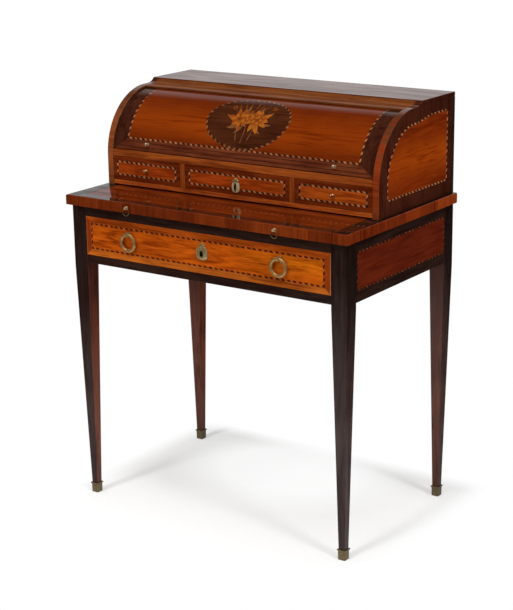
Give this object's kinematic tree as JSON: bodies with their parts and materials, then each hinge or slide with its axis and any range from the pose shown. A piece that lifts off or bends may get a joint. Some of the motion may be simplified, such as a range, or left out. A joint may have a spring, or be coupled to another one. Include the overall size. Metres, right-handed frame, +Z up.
{
  "type": "cylinder-front writing desk",
  "caption": "Lady's writing desk: cylinder fall and small drawers on a table with a pull-out writing slide, frieze drawer and square tapered legs in brass shoes.",
  "frame": {"origin": "on the floor under the middle of the table top", "axes": "+Z up, front towards -Y, +X to the sitter's right"},
  "size_m": [0.77, 0.4889, 0.983],
  "materials": {
    "dark_wood": "very dark purple-brown veneer, French polished",
    "red_wood": "red-brown crossbanded veneer, French polished",
    "orange_wood": "orange-brown veneer with marquetry lines, French polished",
    "oak": "plain oak, unpolished",
    "brass": "aged brass, rubbed bright on the high places",
    "steel": "dull iron lock case"
  },
  "bodies": {
    "carcase": {"leg_front_left": "dark_wood", "leg_front_right": "dark_wood", "leg_back_left": "dark_wood", "leg_back_right": "dark_wood", "frieze_rail_upper": "dark_wood", "frieze_rail_lower": "dark_wood", "apron_back": "dark_wood", "top_end_left": "dark_wood", "top_end_right": "dark_wood", "case_back": "dark_wood", "apron_left": "red_wood", "apron_right": "red_wood", "top_back_rail": "red_wood", "case_roof": "red_wood", "cornice_moulding": "red_wood", "case_floor": "red_wood", "case_rail_board": "red_wood", "drawer_divider_left": "red_wood", "drawer_divider_right": "red_wood", "pigeonhole_shelf": "red_wood", "pigeonhole_partition_left": "red_wood", "pigeonhole_partition_right": "red_wood", "case_side_left": "orange_wood", "case_side_right": "orange_wood", "drawer_runner_left": "oak", "drawer_runner_right": "oak", "slide_bearer_left": "oak", "slide_bearer_right": "oak", "sabot_front_left": "brass", "sabot_front_right": "brass", "sabot_back_left": "brass", "sabot_back_right": "brass"},
    "cylinder": {"cylinder_fall": "orange_wood", "cylinder_knob_left": "brass", "cylinder_knob_right": "brass"},
    "writing_slide": {"writing_slide": "red_wood", "slide_ring_post_left": "brass", "slide_ring_post_right": "brass"},
    "slide_ring_left": {"slide_ring_left": "brass"},
    "slide_ring_right": {"slide_ring_right": "brass"},
    "frieze_drawer": {"frieze_drawer_front": "orange_wood", "frieze_drawer_side_left": "oak", "frieze_drawer_side_right": "oak", "frieze_drawer_back": "oak", "frieze_drawer_bottom": "oak", "frieze_lock": "steel", "frieze_escutcheon": "brass", "frieze_ring_post_left": "brass", "frieze_ring_post_right": "brass"},
    "frieze_ring_left": {"frieze_ring_left": "brass"},
    "frieze_ring_right": {"frieze_ring_right": "brass"},
    "drawer_left": {"drawer_left_front": "orange_wood", "drawer_left_tray": "oak", "drawer_left_knob": "brass"},
    "drawer_middle": {"drawer_middle_front": "orange_wood", "drawer_middle_tray": "oak", "drawer_middle_escutcheon": "brass"},
    "drawer_right": {"drawer_right_front": "orange_wood", "drawer_right_tray": "oak", "drawer_right_knob": "brass"}
  },
  "joints": [
    {"name": "cylinder_turn", "type": "hinge", "parent": "carcase", "child": "cylinder", "pos_m": [0, 0.055, 0.821], "axis": [-1, 0, 0], "range_deg": [0, 65]},
    {"name": "writing_slide_pull", "type": "slide", "parent": "carcase", "child": "writing_slide", "axis": [0, -1, 0], "range_m": [0, 0.22]},
    {"name": "frieze_drawer_pull", "type": "slide", "parent": "carcase", "child": "frieze_drawer", "axis": [0, -1, 0], "range_m": [0, 0.28]},
    {"name": "drawer_left_pull", "type": "slide", "parent": "carcase", "child": "drawer_left", "axis": [0, -1, 0], "range_m": [0, 0.16]},
    {"name": "drawer_middle_pull", "type": "slide", "parent": "carcase", "child": "drawer_middle", "axis": [0, -1, 0], "range_m": [0, 0.16]},
    {"name": "drawer_right_pull", "type": "slide", "parent": "carcase", "child": "drawer_right", "axis": [0, -1, 0], "range_m": [0, 0.16]},
    {"name": "frieze_ring_left_swing", "type": "hinge", "parent": "frieze_drawer", "child": "frieze_ring_left", "pos_m": [-0.2075, -0.23564, 0.67395], "axis": [-1, 0, 0], "range_deg": [0, 90]},
    {"name": "slide_ring_left_swing", "type": "hinge", "parent": "writing_slide", "child": "slide_ring_left", "pos_m": [-0.203, -0.24468, 0.73815], "axis": [-1, 0, 0], "range_deg": [0, 90]},
    {"name": "frieze_ring_right_swing", "type": "hinge", "parent": "frieze_drawer", "child": "frieze_ring_right", "pos_m": [0.2075, -0.23564, 0.67395], "axis": [-1, 0, 0], "range_deg": [0, 90]},
    {"name": "slide_ring_right_swing", "type": "hinge", "parent": "writing_slide", "child": "slide_ring_right", "pos_m": [0.203, -0.24468, 0.73815], "axis": [-1, 0, 0], "range_deg": [0, 90]}
  ]
}
